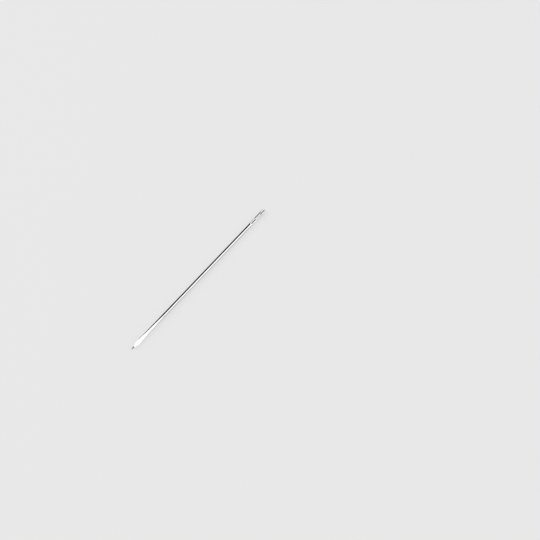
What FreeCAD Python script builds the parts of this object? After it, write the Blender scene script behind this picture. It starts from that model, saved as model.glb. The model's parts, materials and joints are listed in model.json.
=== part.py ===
"""Leather hand sewing needle, lying level on a flat surface.

The needle's axis is parallel to X, with the point at -X and the head at +X. The origin is half way along the
needle, on the surface that it lies on, and +Z is up. Lengths are in millimetres and angles in degrees.

The needle is one piece of round steel wire. A cutting blade of three flats is worked on its front end. The head
is stamped thinner on two sides, which spreads it a little, and its long eye is punched between two gutters.
"""

import FreeCAD
import Part
import math
import os

# Whole needle
length = 55.0
shank_radius = 0.46

# Blade: three flats that run out into the round shank, and curve in from the shoulder to the point
blade_length = 13.9
shoulder_length = 3.2
shoulder_inner_radius = 0.32

# The wire is swaged out round the shoulder, so that the blade's three edges stand out from the shank
swell_radius = 0.60
swell_start = 1.4
swell_length = 6.4

# Point: three steeper bevels that meet in a very small end face
bevel_length = 1.1
bevel_inner_radius = 0.11
point_inner_radius = 0.010

# Head: an oval section, wider and thinner than the shank
head_length = 7.2
head_width = 1.04
head_thickness = 0.80
head_spread_length = 3.0
head_round_length = 0.75
head_end_flat = 0.24

# Eye, with a rounded rim on both sides
eye_length = 2.3
eye_width = 0.38
eye_to_head_end = 1.5
eye_rim_radius = 0.03

# Gutters on both sides of the head: a little wider than the eye, with rounded bottom corners
gutter_depth = 0.15
gutter_corner_radius = 0.05
gutter_ledge = 0.01
gutter_beyond_eye = 2.0

# The blade's upper flat is turned this far towards -Y from the line of the eye
blade_turn = 11.0

# The needle lies rolled this far towards -Y from where its eye would stand upright
rest_roll = 23.0

# Places along the needle, measured from the point
head_start = length - head_length
head_straight_end = length - head_round_length
eye_end = length - eye_to_head_end
eye_start = eye_end - eye_length
gutter_start = eye_start - gutter_beyond_eye

# The gutter's floor, out from the axis, and its width: the eye with its rim, a ledge and a corner on each side
gutter_floor = head_thickness / 2 - gutter_depth
gutter_width = eye_width + 2 * (eye_rim_radius + gutter_ledge + gutter_corner_radius)

# Steps of the loft that makes the head, along its straight part and round its end
STRAIGHT_STEPS = 12
ROUND_STEPS = 8

# How far a cutter runs past what it cuts, and how closely an edge has to lie where it is looked for
OVERRUN = 1.0
TOLERANCE = 0.0001

ORIGIN = FreeCAD.Vector(0, 0, 0)
X_AXIS = FreeCAD.Vector(1, 0, 0)
Y_AXIS = FreeCAD.Vector(0, 1, 0)
Z_AXIS = FreeCAD.Vector(0, 0, 1)


def line(start, end):
    """A straight edge between two points of the needle's long section, each given as (along, out)."""
    return Part.makeLine(FreeCAD.Vector(start[0], 0, start[1]), FreeCAD.Vector(end[0], 0, end[1]))


def curve(points):
    """A Bezier edge in the needle's long section, with its poles given as (along, out)."""
    edge = Part.BezierCurve()
    edge.setPoles([FreeCAD.Vector(along, 0, out) for along, out in points])
    return edge.toShape()


def wire_blank():
    """The round wire from the point to the head, with the swelling that becomes the blade's edges."""
    swell_end = swell_start + swell_length
    outline = Part.Wire([
        line((0, 0), (0, swell_radius)),
        line((0, swell_radius), (swell_start, swell_radius)),
        curve([
            (swell_start, swell_radius),
            (swell_start + swell_length / 3, swell_radius),
            (swell_end - swell_length / 3, shank_radius),
            (swell_end, shank_radius),
        ]),
        line((swell_end, shank_radius), (head_start, shank_radius)),
        line((head_start, shank_radius), (head_start, 0)),
        line((head_start, 0), (0, 0)),
    ])
    return Part.Face(outline).revolve(ORIGIN, X_AXIS, 360)


def flat_cutter():
    """What grinding takes off above the blade's topmost side: all that lies outside its bevel and its flat."""
    flat_slope = (shank_radius - shoulder_inner_radius) / (blade_length - shoulder_length)
    bevel_slope = (bevel_inner_radius - point_inner_radius) / bevel_length
    bevel_end = (bevel_length, bevel_inner_radius)
    shoulder = (shoulder_length, shoulder_inner_radius)
    half_way = (bevel_length + shoulder_length) / 2
    on_flat = (half_way, shoulder_inner_radius - flat_slope * (shoulder_length - half_way))
    top = swell_radius + shank_radius + OVERRUN
    front = (-OVERRUN, point_inner_radius - bevel_slope * OVERRUN)
    back = (blade_length + OVERRUN, shank_radius + flat_slope * OVERRUN)
    outline = Part.Wire([
        line(front, bevel_end),
        curve([bevel_end, on_flat, shoulder]),
        line(shoulder, back),
        line(back, (back[0], top)),
        line((back[0], top), (front[0], top)),
        line((front[0], top), front),
    ])
    cutter = Part.Face(outline).extrude(Y_AXIS * (4 * top))
    cutter.translate(Y_AXIS * (-2 * top))
    return cutter


def blade_cutters():
    """The cutters of the blade's three flats: one above, and two that meet in the ridge below."""
    cutters = []
    for turn in (0, 120, 240):
        cutter = flat_cutter()
        cutter.rotate(ORIGIN, X_AXIS, turn + blade_turn)
        cutters.append(cutter)
    return cutters


def oval(along, half_width, half_thickness):
    """An oval wire across the needle at a place along it."""
    ring = Part.Circle(FreeCAD.Vector(along, 0, 0), X_AXIS, 1.0).toBSpline()
    for number, pole in enumerate(ring.getPoles(), 1):
        ring.setPole(number, FreeCAD.Vector(along, pole.y * half_width, pole.z * half_thickness))
    return Part.Wire(ring.toShape())


def head_section(along):
    """The head's section where it is straight or still spreads from the round shank."""
    share = min((along - head_start) / head_spread_length, 1.0)
    spread = share * share * (3 - 2 * share)
    half_width = shank_radius + (head_width / 2 - shank_radius) * spread
    half_thickness = shank_radius + (head_thickness / 2 - shank_radius) * spread
    return oval(along, half_width, half_thickness)


def stamped_head():
    """The head: round where it leaves the shank, spread to an oval at the eye, and rounded at its end."""
    sections = []
    for step in range(STRAIGHT_STEPS + 1):
        sections.append(head_section(head_start + (head_straight_end - head_start) * step / STRAIGHT_STEPS))
    last_angle = math.acos(head_end_flat / head_width)
    for step in range(1, ROUND_STEPS + 1):
        angle = last_angle * step / ROUND_STEPS
        along = head_straight_end + head_round_length * math.sin(angle) / math.sin(last_angle)
        size = math.cos(angle)
        sections.append(oval(along, head_width / 2 * size, head_thickness / 2 * size))
    return Part.makeLoft(sections, True, False)


def round_ended_bar(start, end, width, bottom, top):
    """An upright bar with half-round ends, from start to end along the needle."""
    radius = width / 2
    first = start + radius
    last = end - radius
    outline = Part.Wire([
        Part.makeLine(FreeCAD.Vector(first, -radius, bottom), FreeCAD.Vector(last, -radius, bottom)),
        Part.makeCircle(radius, FreeCAD.Vector(last, 0, bottom), Z_AXIS, 270, 90),
        Part.makeLine(FreeCAD.Vector(last, radius, bottom), FreeCAD.Vector(first, radius, bottom)),
        Part.makeCircle(radius, FreeCAD.Vector(first, 0, bottom), Z_AXIS, 90, 270),
    ])
    return Part.Face(outline).extrude(Z_AXIS * (top - bottom))


def level_edges(shape, corner, opposite):
    """The edges of a shape that are level and lie within the box between two corners."""
    box = FreeCAD.BoundBox(corner, opposite)
    box.enlarge(TOLERANCE)
    return [edge for edge in shape.Edges if box.isInside(edge.BoundBox) and edge.BoundBox.ZLength < TOLERANCE]


def gutter_die():
    """The die of the upper gutter, which starts abruptly before the eye and runs out over the head's end."""
    end = length + gutter_width
    half_width = gutter_width / 2
    bar = round_ended_bar(gutter_start, end, gutter_width, gutter_floor, gutter_floor + OVERRUN)
    bottom_edges = level_edges(
        bar,
        FreeCAD.Vector(gutter_start, -half_width, gutter_floor),
        FreeCAD.Vector(end, half_width, gutter_floor),
    )
    return bar.makeFillet(gutter_corner_radius, bottom_edges)


def punched_head(blank):
    """The blank with both gutters stamped into its head and the eye punched through it between them."""
    upper_die = gutter_die()
    lower_die = upper_die.copy()
    lower_die.rotate(ORIGIN, X_AXIS, 180)
    punch = round_ended_bar(eye_start, eye_end, eye_width, -OVERRUN, OVERRUN)
    punched = blank.cut([upper_die, lower_die]).cut(punch)
    rims = level_edges(
        punched,
        FreeCAD.Vector(eye_start, -eye_width / 2, -gutter_floor),
        FreeCAD.Vector(eye_end, eye_width / 2, gutter_floor),
    )
    return punched.makeFillet(eye_rim_radius, rims)


def needle():
    """The whole needle along X, with its point at the origin and its eye upright."""
    blank = wire_blank().fuse(stamped_head())
    return punched_head(blank).cut(blade_cutters()).removeSplitter()


def at_rest(body):
    """The needle where it lies: rolled, half way along at the origin, with its lowest point on the surface."""
    body.rotate(ORIGIN, X_AXIS, rest_roll)
    axis_height = -body.optimalBoundingBox().ZMin
    print("axis height:", round(axis_height, 4))
    body.translate(FreeCAD.Vector(-length / 2, 0, axis_height))
    return body


def main():
    os.makedirs("parts", exist_ok=True)
    at_rest(needle()).exportStep("parts/needle.step")


main()
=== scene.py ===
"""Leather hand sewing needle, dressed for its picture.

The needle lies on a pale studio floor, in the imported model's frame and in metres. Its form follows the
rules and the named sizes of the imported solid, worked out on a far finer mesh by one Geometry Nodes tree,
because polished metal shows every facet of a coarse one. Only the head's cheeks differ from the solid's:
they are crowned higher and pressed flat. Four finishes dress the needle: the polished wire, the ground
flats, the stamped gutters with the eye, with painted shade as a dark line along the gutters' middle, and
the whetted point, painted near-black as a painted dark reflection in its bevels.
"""

import json
import logging
import math
from dataclasses import dataclass, field, fields
from enum import Enum
from types import SimpleNamespace
from typing import Union

import bpy
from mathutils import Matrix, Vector

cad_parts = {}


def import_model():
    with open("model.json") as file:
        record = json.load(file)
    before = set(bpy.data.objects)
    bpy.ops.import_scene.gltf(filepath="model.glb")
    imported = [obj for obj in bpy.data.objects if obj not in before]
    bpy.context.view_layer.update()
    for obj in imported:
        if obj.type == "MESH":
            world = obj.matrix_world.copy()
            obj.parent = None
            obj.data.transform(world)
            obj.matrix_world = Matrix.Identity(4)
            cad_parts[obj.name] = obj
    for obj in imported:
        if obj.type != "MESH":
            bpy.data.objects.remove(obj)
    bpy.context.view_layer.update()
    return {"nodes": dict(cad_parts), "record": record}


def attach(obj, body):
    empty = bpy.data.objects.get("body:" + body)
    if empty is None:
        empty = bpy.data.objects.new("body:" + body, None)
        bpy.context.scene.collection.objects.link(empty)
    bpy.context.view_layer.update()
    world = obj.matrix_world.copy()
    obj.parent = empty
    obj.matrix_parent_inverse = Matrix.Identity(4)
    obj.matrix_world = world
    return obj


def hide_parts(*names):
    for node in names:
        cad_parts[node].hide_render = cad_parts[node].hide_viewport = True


LOG = logging.getLogger("needle")

Socket = bpy.types.NodeSocket
Tree = bpy.types.NodeTree
Colour = tuple[float, float, float]

MILLIMETRE = 0.001
QUARTER_TURN = math.pi / 2

# The blade's flats, and half the turn that each of them takes up
BLADE_FLATS = 3
HALF_SECTOR = math.pi / BLADE_FLATS

# The mark of the gutters on the chart of the needle's skin
IN_GUTTER = -1.0

# The places of the colours among the Mix node's sockets, whose names repeat
MIX_COLOUR_A = 6
MIX_COLOUR_B = 7
MIX_COLOUR_RESULT = 2


class Finish(Enum):
    """The finishes of the needle's faces, in the order of the mesh's material slots."""

    POLISHED = 0
    GROUND = 1
    STAMPED = 2
    WHETTED = 3


Materials = dict[Finish, bpy.types.Material]


class Spacing(Enum):
    """How a band's rings are spaced: evenly, or closer together towards a rounded start or end."""

    EVEN = "even"
    ROUND_START = "round start"
    ROUND_END = "round end"


class Value:
    """A number that a node tree works out, which takes part in sums as an ordinary number does."""

    def __init__(self, sheet: "NodeSheet", socket: Socket) -> None:
        """Keep the socket that gives the number and the sheet that it is on."""
        self.sheet = sheet
        self.socket = socket

    def __add__(self, other: "Number") -> "Value":
        """The sum."""
        return self.sheet.math("ADD", self, other)

    __radd__ = __add__

    def __sub__(self, other: "Number") -> "Value":
        """The difference."""
        return self.sheet.math("SUBTRACT", self, other)

    def __rsub__(self, other: float) -> "Value":
        """The difference from an ordinary number."""
        return self.sheet.math("SUBTRACT", other, self)

    def __mul__(self, other: "Number") -> "Value":
        """The product."""
        return self.sheet.math("MULTIPLY", self, other)

    __rmul__ = __mul__

    def __truediv__(self, other: "Number") -> "Value":
        """The quotient."""
        return self.sheet.math("DIVIDE", self, other)

    def least(self, other: "Number") -> "Value":
        """The smaller of the two."""
        return self.sheet.math("MINIMUM", self, other)

    def soft_least(self, other: "Number", softness: "Number") -> "Value":
        """The smaller of the two, rounded off where they are nearly equal."""
        return self.sheet.math("SMOOTH_MIN", self, other, softness)

    def most(self, other: "Number") -> "Value":
        """The larger of the two."""
        return self.sheet.math("MAXIMUM", self, other)

    def share(self) -> "Value":
        """The number kept between 0 and 1."""
        return self.most(0.0).least(1.0)

    def eased(self) -> "Value":
        """A smooth step from 0 to 1, level at both ends."""
        kept = self.share()
        return kept * kept * (3.0 - kept * 2.0)

    def above(self, other: "Number") -> "Value":
        """1 where this is more than the other number, and 0 elsewhere."""
        return self.sheet.math("GREATER_THAN", self, other)

    def below(self, other: "Number") -> "Value":
        """1 where this is less than the other number, and 0 elsewhere."""
        return self.sheet.math("LESS_THAN", self, other)

    def of(self, function: str) -> "Value":
        """The number put through one of the Math node's functions, such as SINE or SQRT."""
        return self.sheet.math(function, self)


Number = Union[Value, float]


class NodeSheet:
    """A node tree with short ways to place nodes, wire them and do sums on them."""

    def __init__(self, tree: Tree) -> None:
        """Keep the tree."""
        self.tree = tree

    def place(
        self, kind: str, settings: dict[str, object] | None = None, **wires: object
    ) -> bpy.types.Node:
        """Add a node.

        Args:
            kind: The node's type name.
            settings: The node's own properties by name.
            **wires: Its inputs, by name with spaces as underscores: a socket, a Value or a plain value.

        Returns:
            The node.
        """
        node = self.tree.nodes.new(kind)
        for name, setting in (settings or {}).items():
            setattr(node, name, setting)
        for name, value in wires.items():
            self.wire(node.inputs[name.replace("_", " ")], value)
        return node

    def wire(self, target: Socket, value: object) -> None:
        """Link a socket or a Value to an input, or set the input's own value."""
        if isinstance(value, Value):
            self.tree.links.new(value.socket, target)
        elif isinstance(value, Socket):
            self.tree.links.new(value, target)
        else:
            target.default_value = value

    def math(self, operation: str, *terms: Number) -> Value:
        """The result of one Math node with one, two or three terms."""
        node = self.place("ShaderNodeMath", {"operation": operation})
        for number, term in enumerate(terms):
            self.wire(node.inputs[number], term)
        return Value(self, node.outputs[0])

    def split(self, vector: Socket) -> tuple[Value, Value, Value]:
        """The X, Y and Z of a vector."""
        parts = self.place("ShaderNodeSeparateXYZ", Vector=vector)
        return tuple(Value(self, parts.outputs[axis]) for axis in "XYZ")

    def joined(self, x: object, y: object, z: object) -> Socket:
        """The vector of three numbers."""
        return self.place("ShaderNodeCombineXYZ", X=x, Y=y, Z=z).outputs[0]

    def noise(self, spot: Socket, scale: float, detail: float, roughness: float) -> Value:
        """Noise from 0 to 1 at a place."""
        node = self.place(
            "ShaderNodeTexNoise", Vector=spot, Scale=scale, Detail=detail, Roughness=roughness
        )
        return Value(self, node.outputs["Fac"])

    def mix(self, share: Value, first: object, second: object) -> Socket:
        """The mix of two colours, with as much of the second as the share says."""
        node = self.place("ShaderNodeMix", {"data_type": "RGBA"}, Factor=share)
        self.wire(node.inputs[MIX_COLOUR_A], first)
        self.wire(node.inputs[MIX_COLOUR_B], second)
        return node.outputs[MIX_COLOUR_RESULT]


def cleared_sheet(owner: bpy.types.ID) -> NodeSheet:
    """The node tree of a material or world, without the nodes that it starts with."""
    owner.use_nodes = True
    owner.node_tree.nodes.clear()
    return NodeSheet(owner.node_tree)


@dataclass(frozen=True)
class NeedleSizes:
    """The needle's sizes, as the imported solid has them, in millimetres and degrees."""

    length: float = 55.0
    shank_radius: float = 0.46
    blade_length: float = 13.9
    shoulder_length: float = 3.2
    shoulder_inner_radius: float = 0.32
    swell_radius: float = 0.60
    swell_start: float = 1.4
    swell_length: float = 6.4
    bevel_length: float = 1.1
    bevel_inner_radius: float = 0.11
    point_inner_radius: float = 0.010
    head_length: float = 7.2
    head_width: float = 1.04
    head_thickness: float = 0.80
    head_spread_length: float = 3.0
    head_round_length: float = 0.75
    head_end_flat: float = 0.24
    eye_length: float = 2.3
    eye_width: float = 0.38
    eye_to_head_end: float = 1.5
    eye_rim_radius: float = 0.03
    gutter_depth: float = 0.15
    gutter_corner_radius: float = 0.05
    gutter_ledge: float = 0.01
    gutter_beyond_eye: float = 2.0
    blade_turn: float = 11.0
    rest_roll: float = 23.0
    axis_height: float = 0.4963


@dataclass(frozen=True)
class Band:
    """A stretch of the needle's skin: where it starts and ends along the needle, and how it is divided."""

    start: Number
    end: Number
    rings: int
    spacing: Spacing = Spacing.EVEN
    depth_start: float = 0.0
    depth_end: float = 0.0


@dataclass(frozen=True)
class HeadProfile:
    """The head at one place along it: an oval whose crowned cheeks are pressed flat."""

    half_width: Value
    crown: Value
    flat: Value
    softness: Value

    def width_at(self, height: Value) -> Value:
        """How far out from the middle the crown comes down to a height."""
        ratio = height / self.crown
        return self.half_width * (1.0 - ratio * ratio).most(0.0).of("SQRT")

    def cheek(self, level: Value) -> Value:
        """How high the cheek is where the crown is at a share of its full height."""
        return (self.crown * level).soft_least(self.flat, self.softness)

    def cheek_at(self, across: Value) -> Value:
        """How high the cheek is at a distance from the middle."""
        share = across / self.half_width
        return self.cheek((1.0 - share * share).most(0.0).of("SQRT"))


@dataclass
class NeedleForm:
    """The needle's form, as a Geometry Nodes tree that bends a flat chart of its skin into shape.

    The chart's X is the distance from the point and its Y is the share of the way round. Its Z is how far
    a cap's ring is drawn in towards the axis, from 0 to 1, and it is -1 where the gutters are cut.
    """

    sizes: NeedleSizes = field(default_factory=NeedleSizes)
    steps_round: int = 144
    flat_steps_share: float = 2 / 3
    floor_steps_share: float = 12 / 36
    wall_steps_share: float = 16 / 36
    section_change: float = 25.0
    least_flat_angle: float = 8.0
    cheek_crown: float = 0.60
    cheek_height: float = 0.37
    cheek_corner: float = 0.08
    cheek_corner_at_eye: float = 0.30
    cheek_run_in: float = 0.6
    cheek_lead: float = 0.6
    cheek_run_at_eye: float = 0.35
    end_polish_share: float = 0.25
    weld: float = 0.0004
    nose_trim: float = 50.0
    sharp_angle: float = 14.0
    punch_straight_levels: int = 2
    punch_flare_levels: int = 6
    punch_overrun: float = 0.7
    flare_angle: float = 78.0
    outline_steps: int = 28
    outline_side_steps: int = 4
    sheet: NodeSheet = field(init=False)
    size: SimpleNamespace = field(init=False)

    def build(self, name: str, materials: Materials) -> bpy.types.Object:
        """Make the needle as a plain mesh.

        Args:
            name: The new object's name.
            materials: The material of each finish.

        Returns:
            The object, at the origin, with its place in its mesh.
        """
        tree = bpy.data.node_groups.new("Needle form", "GeometryNodeTree")
        self.sheet = NodeSheet(tree)
        identifiers = self._add_inputs()
        group_in = self.sheet.place("NodeGroupInput")
        values = {key: Value(self.sheet, group_in.outputs[_label(key)]) for key in identifiers}
        self.size = SimpleNamespace(**values)
        punched = self._punch_eye(self._skin())
        placed = self._place(self._shade(punched))
        dressed = self._dress(placed, materials)
        tree.interface.new_socket(name="Geometry", in_out="OUTPUT", socket_type="NodeSocketGeometry")
        self.sheet.place("NodeGroupOutput", Geometry=dressed)
        return self._realised(name, tree, identifiers)

    def _add_inputs(self) -> dict[str, str]:
        """Give the tree an input for each size, and return their identifiers by the size's name."""
        identifiers = {}
        interface = self.sheet.tree.interface
        for item in fields(self.sizes):
            label = _label(item.name)
            socket = interface.new_socket(name=label, in_out="INPUT", socket_type="NodeSocketFloat")
            socket.default_value = getattr(self.sizes, item.name)
            identifiers[item.name] = socket.identifier
        return identifiers

    def _realised(self, name: str, tree: Tree, identifiers: dict[str, str]) -> bpy.types.Object:
        """Run the tree on a carrier, and return its result as an object with a plain mesh."""
        carrier_name = name + " carrier"
        carrier = bpy.data.objects.new(carrier_name, bpy.data.meshes.new(carrier_name))
        bpy.context.scene.collection.objects.link(carrier)
        modifier = carrier.modifiers.new("Form", "NODES")
        modifier.node_group = tree
        for size_name, identifier in identifiers.items():
            modifier[identifier] = getattr(self.sizes, size_name)
        bpy.context.view_layer.update()
        evaluated = carrier.evaluated_get(bpy.context.evaluated_depsgraph_get())
        mesh = bpy.data.meshes.new_from_object(evaluated)
        mesh.name = name
        # The carrier's own empty slot comes first
        if mesh.materials[0] is None:
            mesh.materials.pop(index=0)
        needle = bpy.data.objects.new(name, mesh)
        bpy.context.scene.collection.objects.link(needle)
        bpy.data.objects.remove(carrier)
        return needle

    def _bands(self) -> list[Band]:
        """The stretches of the needle's skin, from the cap on its point to the cap on its head."""
        size = self.size
        swell_end = size.swell_start + size.swell_length
        head_start = size.length - size.head_length
        gutter_start = self._gutter_start()
        nose_end = gutter_start + self._gutter_half_width()
        straight_end = size.length - size.head_round_length
        return [
            Band(0.0, 0.0, 2, depth_start=1.0),
            Band(0.0, size.bevel_length, 12),
            Band(size.bevel_length, size.shoulder_length, 28),
            Band(size.shoulder_length, swell_end, 32),
            Band(swell_end, size.blade_length, 28),
            Band(size.blade_length, self.section_change, 18),
            Band(self.section_change, head_start, 24),
            Band(head_start, gutter_start, 20),
            Band(gutter_start, nose_end, 14, Spacing.ROUND_START, IN_GUTTER, IN_GUTTER),
            Band(nose_end, straight_end, 28, Spacing.EVEN, IN_GUTTER, IN_GUTTER),
            Band(straight_end, size.length, 24, Spacing.ROUND_END, IN_GUTTER, IN_GUTTER),
            Band(size.length, size.length, 3, depth_end=1.0),
        ]

    def _skin(self) -> Socket:
        """The closed skin of the needle without its eye, along X with the point at the origin."""
        join = self.sheet.place("GeometryNodeJoinGeometry")
        for band in self._bands():
            self.sheet.wire(join.inputs["Geometry"], self._chart(band))
        along, around, depth = self._position()
        in_gutter, inset = depth.below(IN_GUTTER / 2), depth.most(0.0)
        marked = self._store_finish(join.outputs[0], self._skin_finish(along, around, in_gutter))
        blade = self._blade_section(along, around)
        head = self._head_section(along, around, in_gutter)
        on_blade = along.below(self.section_change)
        across = (blade[0] * on_blade + head[0] * (1.0 - on_blade)) * (1.0 - inset)
        up = (blade[1] * on_blade + head[1] * (1.0 - on_blade)) * (1.0 - inset)
        return self._welded(self._moved(marked, along, across, up))

    def _position(self) -> tuple[Value, Value, Value]:
        """Where a point of the geometry lies."""
        return self.sheet.split(self.sheet.place("GeometryNodeInputPosition").outputs[0])

    def _moved(self, geometry: Socket, x: Number, y: Number, z: Number) -> Socket:
        """The geometry with each of its points in a new place."""
        place = self.sheet.joined(x, y, z)
        return self.sheet.place("GeometryNodeSetPosition", Geometry=geometry, Position=place).outputs[0]

    def _chart(self, band: Band) -> Socket:
        """The flat chart of one band."""
        grid = self.sheet.place(
            "GeometryNodeMeshGrid",
            Size_X=1.0,
            Size_Y=1.0,
            Vertices_X=band.rings + 1,
            Vertices_Y=self.steps_round + 1,
        )
        x, y, _ = self._position()
        along, around = x + 0.5, y + 0.5
        depth = along * (band.depth_end - band.depth_start) + band.depth_start
        if band.spacing is Spacing.ROUND_START:
            along = 1.0 - (along * QUARTER_TURN).of("COSINE")
        if band.spacing is Spacing.ROUND_END:
            sweep = (self.size.head_end_flat / self.size.head_width).of("ARCCOSINE")
            along = (along * sweep).of("SINE") / sweep.of("SINE")
        distance = along * (band.end - band.start) + band.start
        return self._moved(grid.outputs["Mesh"], distance, around, depth)

    def _blade_section(self, along: Value, around: Value) -> tuple[Value, Value]:
        """A point of the blade's or the plain shank's section.

        Args:
            along: The distance from the point.
            around: The share of the way round.

        Returns:
            How far the point lies across and up from the axis.
        """
        size = self.size
        outer, inner = self._outer_radius(along), self._flat_radius(along)
        sector = around * float(BLADE_FLATS) + 0.5
        off_middle = sector.of("FRACT") * 2.0 - 1.0
        step = off_middle.of("ABSOLUTE")
        share = self.flat_steps_share
        even_angle = HALF_SECTOR * share
        faded = ((along - size.blade_length) / (self.section_change - size.blade_length)).eased()
        least = math.radians(self.least_flat_angle) * (1.0 - faded) + even_angle * faded
        flat_angle = (inner / outer).least(1.0).of("ARCCOSINE").most(least).least(HALF_SECTOR)
        on_flat = ((step / share) * flat_angle.of("TANGENT")).of("ARCTANGENT")
        on_flat = on_flat * (1.0 - faded) + (step / share) * flat_angle * faded
        on_wire = flat_angle + (HALF_SECTOR - flat_angle) * ((step - share) / (1.0 - share))
        is_flat = step.below(share)
        off_angle = on_flat * is_flat + on_wire * (1.0 - is_flat)
        radius = (inner / off_angle.of("COSINE")).least(outer)
        turn = size.blade_turn * math.radians(-1) * (1.0 - faded)
        middle = sector.of("FLOOR") * (2 * HALF_SECTOR)
        angle = middle + off_middle.of("SIGN") * off_angle + turn
        return angle.of("SINE") * radius, angle.of("COSINE") * radius

    def _outer_radius(self, along: Value) -> Value:
        """The radius of the wire, which swells round the blade's shoulder."""
        size = self.size
        shrunk = ((along - size.swell_start) / size.swell_length).eased()
        return size.swell_radius + (size.shank_radius - size.swell_radius) * shrunk

    def _flat_radius(self, along: Value) -> Value:
        """How far the flats lie from the axis: steep bevels, a curve to the shoulder, then straight."""
        size = self.size
        rise = size.shank_radius - size.shoulder_inner_radius
        slope = rise / (size.blade_length - size.shoulder_length)
        straight = size.shoulder_inner_radius + (along - size.shoulder_length) * slope
        shoulder_span = size.shoulder_length - size.bevel_length
        drop = size.shoulder_inner_radius - shoulder_span * slope - size.bevel_inner_radius
        short = ((size.shoulder_length - along) / shoulder_span).most(0.0)
        curved = straight - short * short * drop
        bevel_rise = size.bevel_inner_radius - size.point_inner_radius
        bevel = size.point_inner_radius + bevel_rise * (along / size.bevel_length)
        on_bevel = along.below(size.bevel_length)
        return bevel * on_bevel + curved * (1.0 - on_bevel)

    def _gutter_floor(self) -> Value:
        """How far the gutter's floor lies from the axis."""
        return self.size.head_thickness * 0.5 - self.size.gutter_depth

    def _gutter_half_width(self) -> Value:
        """Half the gutter's width: the eye with its rim, a ledge and a corner."""
        size = self.size
        beside_eye = size.eye_rim_radius + size.gutter_ledge + size.gutter_corner_radius
        return size.eye_width * 0.5 + beside_eye

    def _gutter_start(self) -> Value:
        """Where the gutter starts, from the point."""
        size = self.size
        return size.length - size.eye_to_head_end - size.eye_length - size.gutter_beyond_eye

    def _head_section(self, along: Value, around: Value, in_gutter: Value) -> tuple[Value, Value]:
        """A point of the head's section: an oval with a gutter above and below.

        Args:
            along: The distance from the point.
            around: The share of the way round.
            in_gutter: 1 where the gutters are cut.

        Returns:
            How far the point lies across and up from the axis.
        """
        head = self._head_profile(along)
        cut_width, short = self._gutter_cut(along)
        rim = (cut_width * in_gutter).least(head.width_at(self._gutter_floor()))
        step = self._quarter_step(around)
        half_step = 0.5 / self.steps_round
        on_floor = step.below(self.floor_steps_share + half_step) * in_gutter
        on_wall = step.below(self.wall_steps_share - half_step) * in_gutter * (1.0 - on_floor)
        on_cheek = 1.0 - on_floor - on_wall

        floor_across = rim * ((step / self.floor_steps_share).share() * QUARTER_TURN).of("SINE")
        floor_up = self._gutter_bottom(floor_across, short).least(head.cheek_at(floor_across))
        wall_top = head.cheek_at(rim)
        wall_foot = self._gutter_bottom(rim, short).least(wall_top)
        climb = (step - self.floor_steps_share) / (self.wall_steps_share - self.floor_steps_share)
        wall_up = wall_foot + (wall_top - wall_foot) * climb.share()
        angle = self._cheek_angle(along, step, rim / head.half_width)
        cheek_across, cheek_up = angle.of("SINE") * head.half_width, head.cheek(angle.of("COSINE"))

        across = floor_across * on_floor + rim * on_wall + cheek_across * on_cheek
        up = floor_up * on_floor + wall_up * on_wall + cheek_up * on_cheek
        side = self._sign(around.below(0.5))
        face = self._sign((around * (2 * math.pi)).of("COSINE").above(0.0))
        return across * side, up * face

    def _head_profile(self, along: Value) -> HeadProfile:
        """The head's profile, which spreads from the round wire and is rounded at its end."""
        size = self.size
        from_end = along - size.length
        spread = ((from_end + size.head_length) / size.head_spread_length).eased()
        end_share = size.head_end_flat / size.head_width
        past = ((from_end + size.head_round_length) / size.head_round_length).share()
        rounding = (1.0 - past * past * (1.0 - end_share * end_share)).of("SQRT")
        shank = size.shank_radius
        half_width = (shank + (size.head_width * 0.5 - shank) * spread) * rounding
        half_height = (shank + (size.head_thickness * 0.5 - shank) * spread) * rounding
        worked, at_eye = self._cheek_work(along)
        pressed = worked * (1.0 - at_eye)
        softening = self.cheek_corner_at_eye - self.cheek_corner
        return HeadProfile(
            half_width=half_width,
            crown=half_height * (1.0 - worked) + worked * self.cheek_crown * rounding,
            flat=half_height * (1.0 - pressed) + pressed * self.cheek_height * rounding,
            softness=worked * (at_eye * softening + self.cheek_corner),
        )

    def _gutter_cut(self, along: Value) -> tuple[Value, Value]:
        """The gutter's outline at a place along the needle.

        Args:
            along: The distance from the point.

        Returns:
            Half the gutter's width there, and how far the gutter's round start still goes on.
        """
        nose = self._gutter_half_width()
        short = (self._gutter_start() + nose - along).most(0.0)
        trim = self.weld * self.weld * self.nose_trim
        return (nose * nose - short * short - trim).most(0.0).of("SQRT"), short

    def _gutter_bottom(self, across: Value, short: Value) -> Value:
        """How high the gutter's bottom is, with its rounded corner, at a distance from the middle."""
        corner = self.size.gutter_corner_radius
        out = (across * across + short * short).of("SQRT")
        inside = (self._gutter_half_width() - out).share().least(corner)
        from_corner = corner - inside
        curve = (corner * corner - from_corner * from_corner).most(0.0).of("SQRT")
        return self._gutter_floor() + corner - curve

    def _cheek_angle(self, along: Value, step: Value, rim_share: Value) -> Value:
        """The turn on the oval from the middle of a face to a point of the cheek.

        The points are spread evenly at the head's start, and beside the rim where the gutters are.
        """
        head_start = self.size.length - self.size.head_length
        drawn = ((along - head_start) / (self._gutter_start() - head_start)).eased()
        rim_angle = rim_share.of("ARCSINE")
        packed_step = ((step - self.wall_steps_share) / (1.0 - self.wall_steps_share)).share()
        beside_rim = rim_angle + (QUARTER_TURN - rim_angle) * packed_step
        return beside_rim * drawn + step * QUARTER_TURN * (1.0 - drawn)

    def _quarter_step(self, around: Value) -> Value:
        """The place on a quarter of the head's section: 0 at the middle of a face and 1 at the side."""
        return 1.0 - ((around * 2.0).of("FRACT") * 2.0 - 1.0).of("ABSOLUTE")

    def _sign(self, flag: Value) -> Value:
        """1 where the flag is 1, and -1 where it is 0."""
        return flag * 2.0 - 1.0

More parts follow.
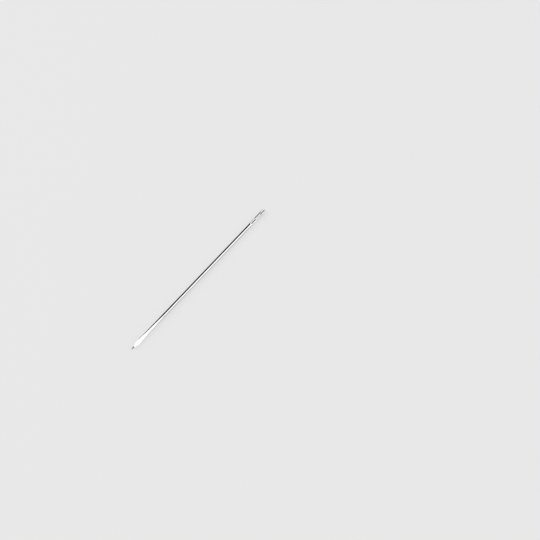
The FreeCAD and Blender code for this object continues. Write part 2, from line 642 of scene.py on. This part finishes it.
    def _cheek_work(self, along: Value) -> tuple[Value, Value]:
        """How far the head's cheeks are worked at a place along the needle.

        Args:
            along: The distance from the point.

        Returns:
            How far they are crowned and pressed, and how far they are rounded off again beside the eye.
        """
        size = self.size
        begin = self._gutter_start() - self.cheek_run_in * self.cheek_lead
        worked = ((along - begin) / self.cheek_run_in).eased()
        eye_middle = size.length - size.eye_to_head_end - size.eye_length * 0.5
        off_eye = (along - eye_middle).of("ABSOLUTE") - size.eye_length * 0.5
        at_eye = ((self.cheek_run_at_eye * 0.5 - off_eye) / self.cheek_run_at_eye).eased()
        return worked, at_eye

    def _skin_finish(self, along: Value, around: Value, in_gutter: Value) -> Value:
        """The finish of a face of the skin, by where its middle lies on the chart."""
        size = self.size
        step = ((around * float(BLADE_FLATS) + 0.5).of("FRACT") * 2.0 - 1.0).of("ABSOLUTE")
        whetted = along.below(size.bevel_length)
        ground = step.below(self.flat_steps_share) * along.below(size.blade_length) * (1.0 - whetted)
        stamped = self._quarter_step(around).below(self.wall_steps_share) * in_gutter
        stamped_end = size.length - size.head_round_length * self.end_polish_share
        stamped = stamped * along.below(stamped_end)
        worked = ground * float(Finish.GROUND.value) + stamped * float(Finish.STAMPED.value)
        return worked + whetted * float(Finish.WHETTED.value)

    def _store_finish(self, geometry: Socket, finish: Number) -> Socket:
        """Write the finish on each face."""
        store = self.sheet.place(
            "GeometryNodeStoreNamedAttribute",
            {"data_type": "FLOAT", "domain": "FACE"},
            Geometry=geometry,
            Name="finish",
            Value=finish,
        )
        return store.outputs[0]

    def _welded(self, geometry: Socket) -> Socket:
        """The geometry with its seams closed."""
        merged = self.sheet.place("GeometryNodeMergeByDistance", Geometry=geometry, Distance=self.weld)
        return merged.outputs[0]

    def _punch_eye(self, body: Socket) -> Socket:
        """The body with the eye punched through it, flared at both rims."""
        punch = self._eye_punch()
        cut = self.sheet.place("GeometryNodeMeshBoolean", {"operation": "DIFFERENCE", "solver": "EXACT"})
        self.sheet.wire(cut.inputs["Mesh 1"], body)
        self.sheet.wire(cut.inputs["Mesh 2"], punch)
        return cut.outputs["Mesh"]

    def _eye_punch(self) -> Socket:
        """The punch: an upright bar with round ends, which flares out where it passes a gutter's floor.

        Its chart's X is the level, counted up and down from the middle: straight sides, the flare, its run
        past the floor, the rise out of the head and the cap. Its Y is the share of the way round.
        """
        size = self.size
        flare_start = float(self.punch_straight_levels)
        flare_end = flare_start + self.punch_flare_levels
        levels = self.punch_straight_levels + self.punch_flare_levels + 3
        outline = 2 * self.outline_steps
        grid = self.sheet.place(
            "GeometryNodeMeshGrid",
            Size_X=2.0 * levels,
            Size_Y=1.0,
            Vertices_X=2 * levels + 1,
            Vertices_Y=outline + 1,
        )
        marked = self._store_finish(grid.outputs["Mesh"], float(Finish.STAMPED.value))
        level, y, _ = self._position()
        turn = y + 0.5
        count = level.of("ABSOLUTE")
        rim = size.eye_rim_radius
        straight = (count / flare_start).share() * (self._gutter_floor() - rim)
        flared = ((count - flare_start) / (flare_end - flare_start)).share()
        flare = flared * math.radians(self.flare_angle)
        beyond = (count - flare_end).share() * rim * self.punch_overrun
        rise = (count - (flare_end + 1.0)).share() * size.head_thickness
        drawn_in = (count - (flare_end + 2.0)).share()
        height = straight + rim * flare.of("SINE") + beyond * flare.of("COSINE") + rise
        radius = size.eye_width * 0.5 + rim * (1.0 - flare.of("COSINE")) + beyond * flare.of("SINE")
        radius = radius * (1.0 - drawn_in)
        second = turn.above(0.5 - 0.25 / outline)
        half = (turn * 2.0 - second) * float(self.outline_steps)
        arc_steps = float(self.outline_steps - self.outline_side_steps)
        arc = (half / arc_steps).share() * math.pi - QUARTER_TURN
        side = ((half - arc_steps) / float(self.outline_side_steps)).share()
        reach = (size.eye_length - size.eye_width) * 0.5
        end = self._sign(second) * -1.0
        along = (reach * (1.0 - side * 2.0) + radius * arc.of("COSINE")) * end
        across = radius * arc.of("SINE") * end * -1.0
        middle = size.length - size.eye_to_head_end - size.eye_length * 0.5
        up = height * level.of("SIGN")
        return self._welded(self._moved(marked, middle + along, across, up))

    def _shade(self, geometry: Socket) -> Socket:
        """Smooth shading, but crisp along the blade's edges, the bevels' ends and the gutters' rims."""
        edge = self.sheet.place("GeometryNodeInputMeshEdgeAngle")
        angle = Value(self.sheet, edge.outputs["Unsigned Angle"])
        off_bevel = (self._position()[0] - self.size.bevel_length).of("ABSOLUTE")
        soft = angle.below(math.radians(self.sharp_angle)) * off_bevel.above(self.weld)
        return self._smoothed(self._smoothed(geometry, "FACE", True), "EDGE", soft)

    def _smoothed(self, geometry: Socket, domain: str, soft: Union[Value, bool]) -> Socket:
        """The geometry with its faces or its edges shaded smooth where a flag says so."""
        settings = {"domain": domain}
        node = self.sheet.place(
            "GeometryNodeSetShadeSmooth", settings, Geometry=geometry, Shade_Smooth=soft
        )
        return node.outputs[0]

    def _place(self, geometry: Socket) -> Socket:
        """The needle rolled over, half way along at the origin and on the floor, in metres."""
        size = self.size
        roll = size.rest_roll * math.radians(1)
        half_way = size.length * (-0.5 * MILLIMETRE)
        height = size.axis_height * MILLIMETRE
        moved = self.sheet.place(
            "GeometryNodeTransform",
            Geometry=geometry,
            Translation=self.sheet.joined(half_way, 0.0, height),
            Rotation=self.sheet.joined(roll, 0.0, 0.0),
            Scale=(MILLIMETRE, MILLIMETRE, MILLIMETRE),
        )
        return moved.outputs[0]

    def _dress(self, geometry: Socket, materials: Materials) -> Socket:
        """The geometry, realised, with each face in the material of its finish."""
        dressed = self.sheet.place("GeometryNodeRealizeInstances", Geometry=geometry).outputs[0]
        settings = {"data_type": "FLOAT"}
        finish = self.sheet.place("GeometryNodeInputNamedAttribute", settings, Name="finish")
        number = Value(self.sheet, finish.outputs["Attribute"])
        for kind, material in materials.items():
            chosen = number.above(kind.value - 0.5)
            node = self.sheet.place(
                "GeometryNodeSetMaterial", Geometry=dressed, Material=material, Selection=chosen
            )
            dressed = node.outputs[0]
        return dressed


def _label(name: str) -> str:
    """A size's name as the tree's input shows it."""
    return name.replace("_", " ").capitalize()


@dataclass(frozen=True)
class MetalFinish:
    """One finish of the needle's metal: its colours, its gloss and the marks of the tool that made it.

    Lengths are in millimetres. The last two fields paint shade along the middle of the gutters as a dark
    line: half its width, or 0, and its colour.
    """

    name: str
    colour: Colour
    stain_colour: Colour
    stain: float
    roughness: float
    roughness_spread: float
    lines_along: bool
    line_pitch: float
    line_stretch: float
    line_depth: float
    # A dark line of painted shade along the middle of the gutters: half its width, and its colour
    seam: float = 0.0
    seam_colour: Colour = (0.03, 0.03, 0.03)


FINISHES = {
    Finish.POLISHED: MetalFinish(
        name="nickel_polished",
        colour=(0.83, 0.828, 0.824),
        stain_colour=(0.66, 0.655, 0.645),
        stain=0.30,
        roughness=0.03,
        roughness_spread=0.04,
        lines_along=True,
        line_pitch=0.022,
        line_stretch=60.0,
        line_depth=0.00025,
    ),
    Finish.GROUND: MetalFinish(
        name="nickel_ground",
        colour=(0.83, 0.828, 0.824),
        stain_colour=(0.67, 0.665, 0.655),
        stain=0.25,
        roughness=0.06,
        roughness_spread=0.05,
        lines_along=False,
        line_pitch=0.030,
        line_stretch=30.0,
        line_depth=0.00050,
    ),
    Finish.STAMPED: MetalFinish(
        name="nickel_stamped",
        colour=(0.79, 0.788, 0.784),
        stain_colour=(0.49, 0.485, 0.475),
        stain=0.50,
        roughness=0.12,
        roughness_spread=0.10,
        lines_along=True,
        line_pitch=0.045,
        line_stretch=8.0,
        line_depth=0.00080,
        # Paints shade along the middle of the gutters as a dark line
        seam=0.12,
    ),
    # The point's near-black colours are a painted dark reflection, the darkness its bevels mirror, painted
    # in as colour
    Finish.WHETTED: MetalFinish(
        name="whetted_point_painted_dark_reflection",
        colour=(0.075, 0.075, 0.078),
        stain_colour=(0.05, 0.05, 0.048),
        stain=0.50,
        roughness=0.24,
        roughness_spread=0.12,
        lines_along=False,
        line_pitch=0.035,
        line_stretch=20.0,
        line_depth=0.00100,
    ),
}


@dataclass
class NeedleMetals:
    """The needle's materials, which share three node groups: its place, its tool lines and its stains."""

    sizes: NeedleSizes
    line_gloss: float = 0.5
    fine_share: float = 0.6
    cloud_share: float = 0.65
    cloud_level: float = 0.42
    cloud_blur: float = 0.25
    speck_level: float = 0.56
    speck_blur: float = 0.12
    # How softly the painted shade along the gutters' middle fades out, as a share of its half width
    seam_blur: float = 0.3
    place_group: Tree = field(init=False)
    line_group: Tree = field(init=False)
    stain_group: Tree = field(init=False)

    def build(self) -> Materials:
        """Make the material of each finish."""
        self.place_group = self._place_group()
        self.line_group = self._line_group()
        self.stain_group = self._stain_group()
        return {kind: self._metal(finish) for kind, finish in FINISHES.items()}

    def _metal(self, finish: MetalFinish) -> bpy.types.Material:
        """The material of one finish."""
        material = bpy.data.materials.new(finish.name)
        sheet = cleared_sheet(material)
        given = sheet.place("ShaderNodeTexCoord").outputs["Object"]
        place = sheet.place("ShaderNodeGroup", {"node_tree": self.place_group}, Object=given)
        spot = place.outputs["Place"]
        close, stretched = 1.0 / finish.line_pitch, 1.0 / (finish.line_pitch * finish.line_stretch)
        lines = sheet.place(
            "ShaderNodeGroup",
            {"node_tree": self.line_group},
            Place=spot,
            Along=stretched if finish.lines_along else close,
            Across=close if finish.lines_along else stretched,
        )
        stains = sheet.place(
            "ShaderNodeGroup",
            {"node_tree": self.stain_group},
            Place=spot,
            Amount=finish.stain,
            Clean=(*finish.colour, 1.0),
            Stained=(*finish.stain_colour, 1.0),
        )
        scratched, stained = (Value(sheet, node.outputs[0]) for node in (lines, stains))
        uneven = scratched * self.line_gloss + stained
        roughness = uneven * finish.roughness_spread + finish.roughness
        colour = stains.outputs["Colour"]
        # Paint shade as a dark line along the middle of the gutters
        if finish.seam:
            colour = self._groove_shaded(sheet, finish, spot, colour)
        bump = sheet.place(
            "ShaderNodeBump",
            Height=lines.outputs["Lines"],
            Strength=1.0,
            Distance=finish.line_depth * MILLIMETRE,
        )
        metal = sheet.place(
            "ShaderNodeBsdfPrincipled",
            Base_Color=colour,
            Metallic=1.0,
            Roughness=roughness,
            Normal=bump.outputs["Normal"],
        )
        sheet.place("ShaderNodeOutputMaterial", Surface=metal.outputs["BSDF"])
        return material

    def _groove_shaded(self, sheet: NodeSheet, finish: MetalFinish, spot: Socket, colour: Socket) -> Socket:
        """The colour with a dark line of painted shade along the middle, where the deep, narrow gutters
        would look darkest.
        """
        off_middle = sheet.split(spot)[1].of("ABSOLUTE")
        outer, blur = finish.seam * (1.0 + self.seam_blur), finish.seam * self.seam_blur * 2
        seam = ((outer - off_middle) / blur).eased()
        return sheet.mix(seam, colour, (*finish.seam_colour, 1.0))

    def _group(
        self, name: str, inputs: dict[str, tuple[str, object]], outputs: dict[str, str]
    ) -> NodeSheet:
        """Start a node group, with each input's kind and default, and each output's kind."""
        tree = bpy.data.node_groups.new(name, "ShaderNodeTree")
        for input_name, (kind, default) in inputs.items():
            socket = tree.interface.new_socket(name=input_name, in_out="INPUT", socket_type=kind)
            if default is not None:
                socket.default_value = default
        for output_name, kind in outputs.items():
            tree.interface.new_socket(name=output_name, in_out="OUTPUT", socket_type=kind)
        return NodeSheet(tree)

    def _place_group(self) -> Tree:
        """The place on the needle, in millimetres: from its point, across its eye and up along the eye."""
        inputs, outputs = {"Object": ("NodeSocketVector", None)}, {"Place": "NodeSocketVector"}
        sheet = self._group("Needle place", inputs, outputs)
        given = sheet.place("NodeGroupInput")
        start = (-0.5 * self.sizes.length * MILLIMETRE, 0.0, self.sizes.axis_height * MILLIMETRE)
        moved = sheet.place("ShaderNodeVectorMath", {"operation": "SUBTRACT"})
        sheet.wire(moved.inputs[0], given.outputs["Object"])
        sheet.wire(moved.inputs[1], start)
        sized = sheet.place("ShaderNodeVectorMath", {"operation": "SCALE"}, Scale=1.0 / MILLIMETRE)
        sheet.wire(sized.inputs[0], moved.outputs[0])
        upright = sheet.place(
            "ShaderNodeVectorRotate",
            {"rotation_type": "X_AXIS"},
            Vector=sized.outputs[0],
            Angle=-math.radians(self.sizes.rest_roll),
        )
        sheet.place("NodeGroupOutput", Place=upright.outputs[0])
        return sheet.tree

    def _line_group(self) -> Tree:
        """Fine scratches in one direction, close together and of uneven depth, from 0 to 1."""
        sheet = self._group(
            "Tool lines",
            {
                "Place": ("NodeSocketVector", None),
                "Along": ("NodeSocketFloat", 1.0),
                "Across": ("NodeSocketFloat", 1.0),
            },
            {"Lines": "NodeSocketFloat"},
        )
        given = sheet.place("NodeGroupInput")
        along, across = given.outputs["Along"], given.outputs["Across"]
        drawn = sheet.place("ShaderNodeVectorMath", {"operation": "MULTIPLY"})
        sheet.wire(drawn.inputs[0], given.outputs["Place"])
        sheet.wire(drawn.inputs[1], sheet.joined(along, across, across))
        fine = sheet.noise(drawn.outputs[0], scale=1.0, detail=2.0, roughness=0.6)
        broad = sheet.noise(drawn.outputs[0], scale=0.23, detail=1.0, roughness=0.5)
        lines = fine * self.fine_share + broad * (1.0 - self.fine_share)
        sheet.place("NodeGroupOutput", Lines=lines)
        return sheet.tree

    def _stain_group(self) -> Tree:
        """Faint clouds and specks of handling, as a mask and as the metal's colour under it."""
        sheet = self._group(
            "Handling stains",
            {
                "Place": ("NodeSocketVector", None),
                "Amount": ("NodeSocketFloat", 0.3),
                "Clean": ("NodeSocketColor", None),
                "Stained": ("NodeSocketColor", None),
            },
            {"Stain": "NodeSocketFloat", "Colour": "NodeSocketColor"},
        )
        given = sheet.place("NodeGroupInput")
        spot = given.outputs["Place"]
        clouds = sheet.noise(spot, scale=0.8, detail=4.0, roughness=0.6)
        specks = sheet.noise(spot, scale=7.0, detail=3.0, roughness=0.7)
        cloudy = ((clouds - self.cloud_level) / self.cloud_blur).eased()
        specked = ((specks - self.speck_level) / self.speck_blur).eased()
        stained = cloudy * self.cloud_share + specked * (1.0 - self.cloud_share)
        stain = stained * Value(sheet, given.outputs["Amount"])
        colour = sheet.mix(stain, given.outputs["Clean"], given.outputs["Stained"])
        sheet.place("NodeGroupOutput", Stain=stain, Colour=colour)
        return sheet.tree


@dataclass(frozen=True)
class PhotographPlace:
    """Where a point of the needle lies in the photograph, in its pixels."""

    across: float
    down: float


@dataclass(frozen=True)
class MirroredRoom:
    """What the polished metal mirrors: a white window in front, and a dark room behind.

    A place in the room is its tilt from straight up, in degrees, towards the back. The window starts near
    straight up and comes down in front to a grey sill, low over the floor.
    """

    window: float = 1.70
    room: float = 0.02
    sill: float = 0.60
    window_top: float = -10.0
    window_top_blur: float = 7.0
    window_foot: float = -74.0
    window_foot_blur: float = 10.0

    def brightness(self, sheet: NodeSheet) -> Value:
        """How bright the room is in the direction that the world is looked at.

        Args:
            sheet: The world's sheet.

        Returns:
            The brightness.
        """
        _, back, up = sheet.split(sheet.place("ShaderNodeTexCoord").outputs["Generated"])
        tilt = sheet.math("ARCTAN2", back, up) * math.degrees(1)
        in_front = ((self.window_top - tilt) / self.window_top_blur).eased()
        below = ((self.window_foot - tilt) / self.window_foot_blur).eased()
        return in_front * (self.window - self.room) - below * (self.window - self.sill) + self.room


@dataclass
class Studio:
    """The camera, the pale floor and the soft light."""

    picture_size: float = 540.0
    middle: PhotographPlace = PhotographPlace(198.9, 278.6)
    azimuth: float = -52.4
    elevation: float = 55.0
    distance: float = 0.75
    view_angle: float = 10.54
    nearest_view: float = 0.01
    floor_radius: float = 3.0
    floor_steps: int = 64
    floor_colour: Colour = (0.28, 0.28, 0.28)
    floor_glow: float = 0.55
    floor_glow_in_metal: float = 0.38
    surround: float = 1.0
    mirrored: MirroredRoom = field(default_factory=MirroredRoom)
    key_direction: tuple[float, float, float] = (-0.45, 0.75, 0.50)
    key_distance: float = 1.6
    key_size: float = 1.0
    key_power: float = 7.0

    def build(self, height: float) -> None:
        """Set up the studio round the needle.

        Args:
            height: How high the needle's axis lies above the floor, in metres.
        """
        self._floor()
        self._world()
        self._key_light()
        self._camera(Vector((0.0, 0.0, height)))
        bpy.context.scene.view_settings.view_transform = "Standard"

    def _camera(self, middle: Vector) -> None:
        """The camera, aimed so that the needle's middle comes where it is in the photograph."""
        turn, rise = math.radians(self.azimuth), math.radians(self.elevation)
        level = Vector((math.sin(turn), -math.cos(turn), 0.0))
        towards = level * math.cos(rise) + Vector((0.0, 0.0, math.sin(rise)))
        rotation = towards.to_track_quat("Z", "Y")
        right, up = rotation @ Vector((1.0, 0.0, 0.0)), rotation @ Vector((0.0, 1.0, 0.0))
        pixel = 2 * self.distance * math.tan(math.radians(self.view_angle) / 2) / self.picture_size
        off_right = (self.middle.across - self.picture_size / 2) * pixel
        off_up = (self.picture_size / 2 - self.middle.down) * pixel
        camera = bpy.data.objects.new("camera", bpy.data.cameras.new("camera"))
        camera.data.angle = math.radians(self.view_angle)
        camera.data.clip_start = self.nearest_view
        camera.location = middle - right * off_right - up * off_up + towards * self.distance
        camera.rotation_euler = rotation.to_euler()
        bpy.context.scene.collection.objects.link(camera)
        bpy.context.scene.camera = camera

    def _floor(self) -> None:
        """A round pale floor, partly lit from below like a light table, so that its shadows are faint."""
        mesh = bpy.data.meshes.new("floor")
        turns = [2 * math.pi * step / self.floor_steps for step in range(self.floor_steps)]
        rim = [Vector((math.cos(turn), math.sin(turn), 0.0)) * self.floor_radius for turn in turns]
        mesh.from_pydata(rim, [], [list(range(self.floor_steps))])
        floor = bpy.data.objects.new("floor", mesh)
        bpy.context.scene.collection.objects.link(floor)
        material = bpy.data.materials.new("floor_pale")
        sheet = cleared_sheet(material)
        card = sheet.place("ShaderNodeBsdfDiffuse", Color=(*self.floor_colour, 1.0))
        path = sheet.place("ShaderNodeLightPath")
        seen = Value(sheet, path.outputs["Is Camera Ray"]) * self.floor_glow
        mirrored = Value(sheet, path.outputs["Is Glossy Ray"]) * self.floor_glow_in_metal
        glow = sheet.place("ShaderNodeEmission", Strength=seen + mirrored)
        both = sheet.place("ShaderNodeAddShader")
        sheet.wire(both.inputs[0], card.outputs[0])
        sheet.wire(both.inputs[1], glow.outputs[0])
        sheet.place("ShaderNodeOutputMaterial", Surface=both.outputs[0])
        mesh.materials.append(material)

    def _world(self) -> None:
        """White to the camera, soft light on surfaces, and the mirrored room in the metal."""
        world = bpy.data.worlds.new("studio")
        bpy.context.scene.world = world
        sheet = cleared_sheet(world)
        mirrored = self.mirrored.brightness(sheet)
        path = sheet.place("ShaderNodeLightPath")
        seen = Value(sheet, path.outputs["Is Camera Ray"])
        in_metal = Value(sheet, path.outputs["Is Glossy Ray"])
        strength = seen + (1.0 - seen) * (in_metal * mirrored + (1.0 - in_metal) * self.surround)
        sky = sheet.place("ShaderNodeBackground", Strength=strength)
        sheet.place("ShaderNodeOutputWorld", Surface=sky.outputs[0])

    def _key_light(self) -> None:
        """One soft lamp behind the needle, whose shadow falls towards the camera's right."""
        direction = Vector(self.key_direction).normalized()
        lamp = bpy.data.lights.new("key", "AREA")
        lamp.shape = "DISK"
        lamp.size = self.key_size
        lamp.energy = self.key_power
        holder = bpy.data.objects.new("key", lamp)
        holder.location = direction * self.key_distance
        holder.rotation_euler = direction.to_track_quat("Z", "Y").to_euler()
        bpy.context.scene.collection.objects.link(holder)


def axis_height(record: dict[str, object]) -> float:
    """How high the needle's axis lies above the floor, in millimetres.

    Args:
        record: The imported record, whose shank mount is on the axis.

    Returns:
        The height.
    """
    shank = next(mount for mount in record["mounts"] if mount["name"] == "shank")
    return shank["pos_m"][2] / MILLIMETRE


def main() -> None:
    """Build the needle and its studio."""
    logging.basicConfig(level=logging.INFO, format="%(name)s: %(message)s")
    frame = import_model()
    LOG.info("nodes to dress: %s", ", ".join(frame["nodes"]))
    form = NeedleForm(NeedleSizes(axis_height=axis_height(frame["record"])))
    materials = NeedleMetals(form.sizes).build()
    needle = form.build("polished_needle", materials)
    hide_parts("needle")
    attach(needle, "root")
    LOG.info("%s: %d faces", needle.name, len(needle.data.polygons))
    Studio().build(form.sizes.axis_height * MILLIMETRE)
    LOG.info("studio: camera, floor, world and key light")


if __name__ == "__main__":
    main()
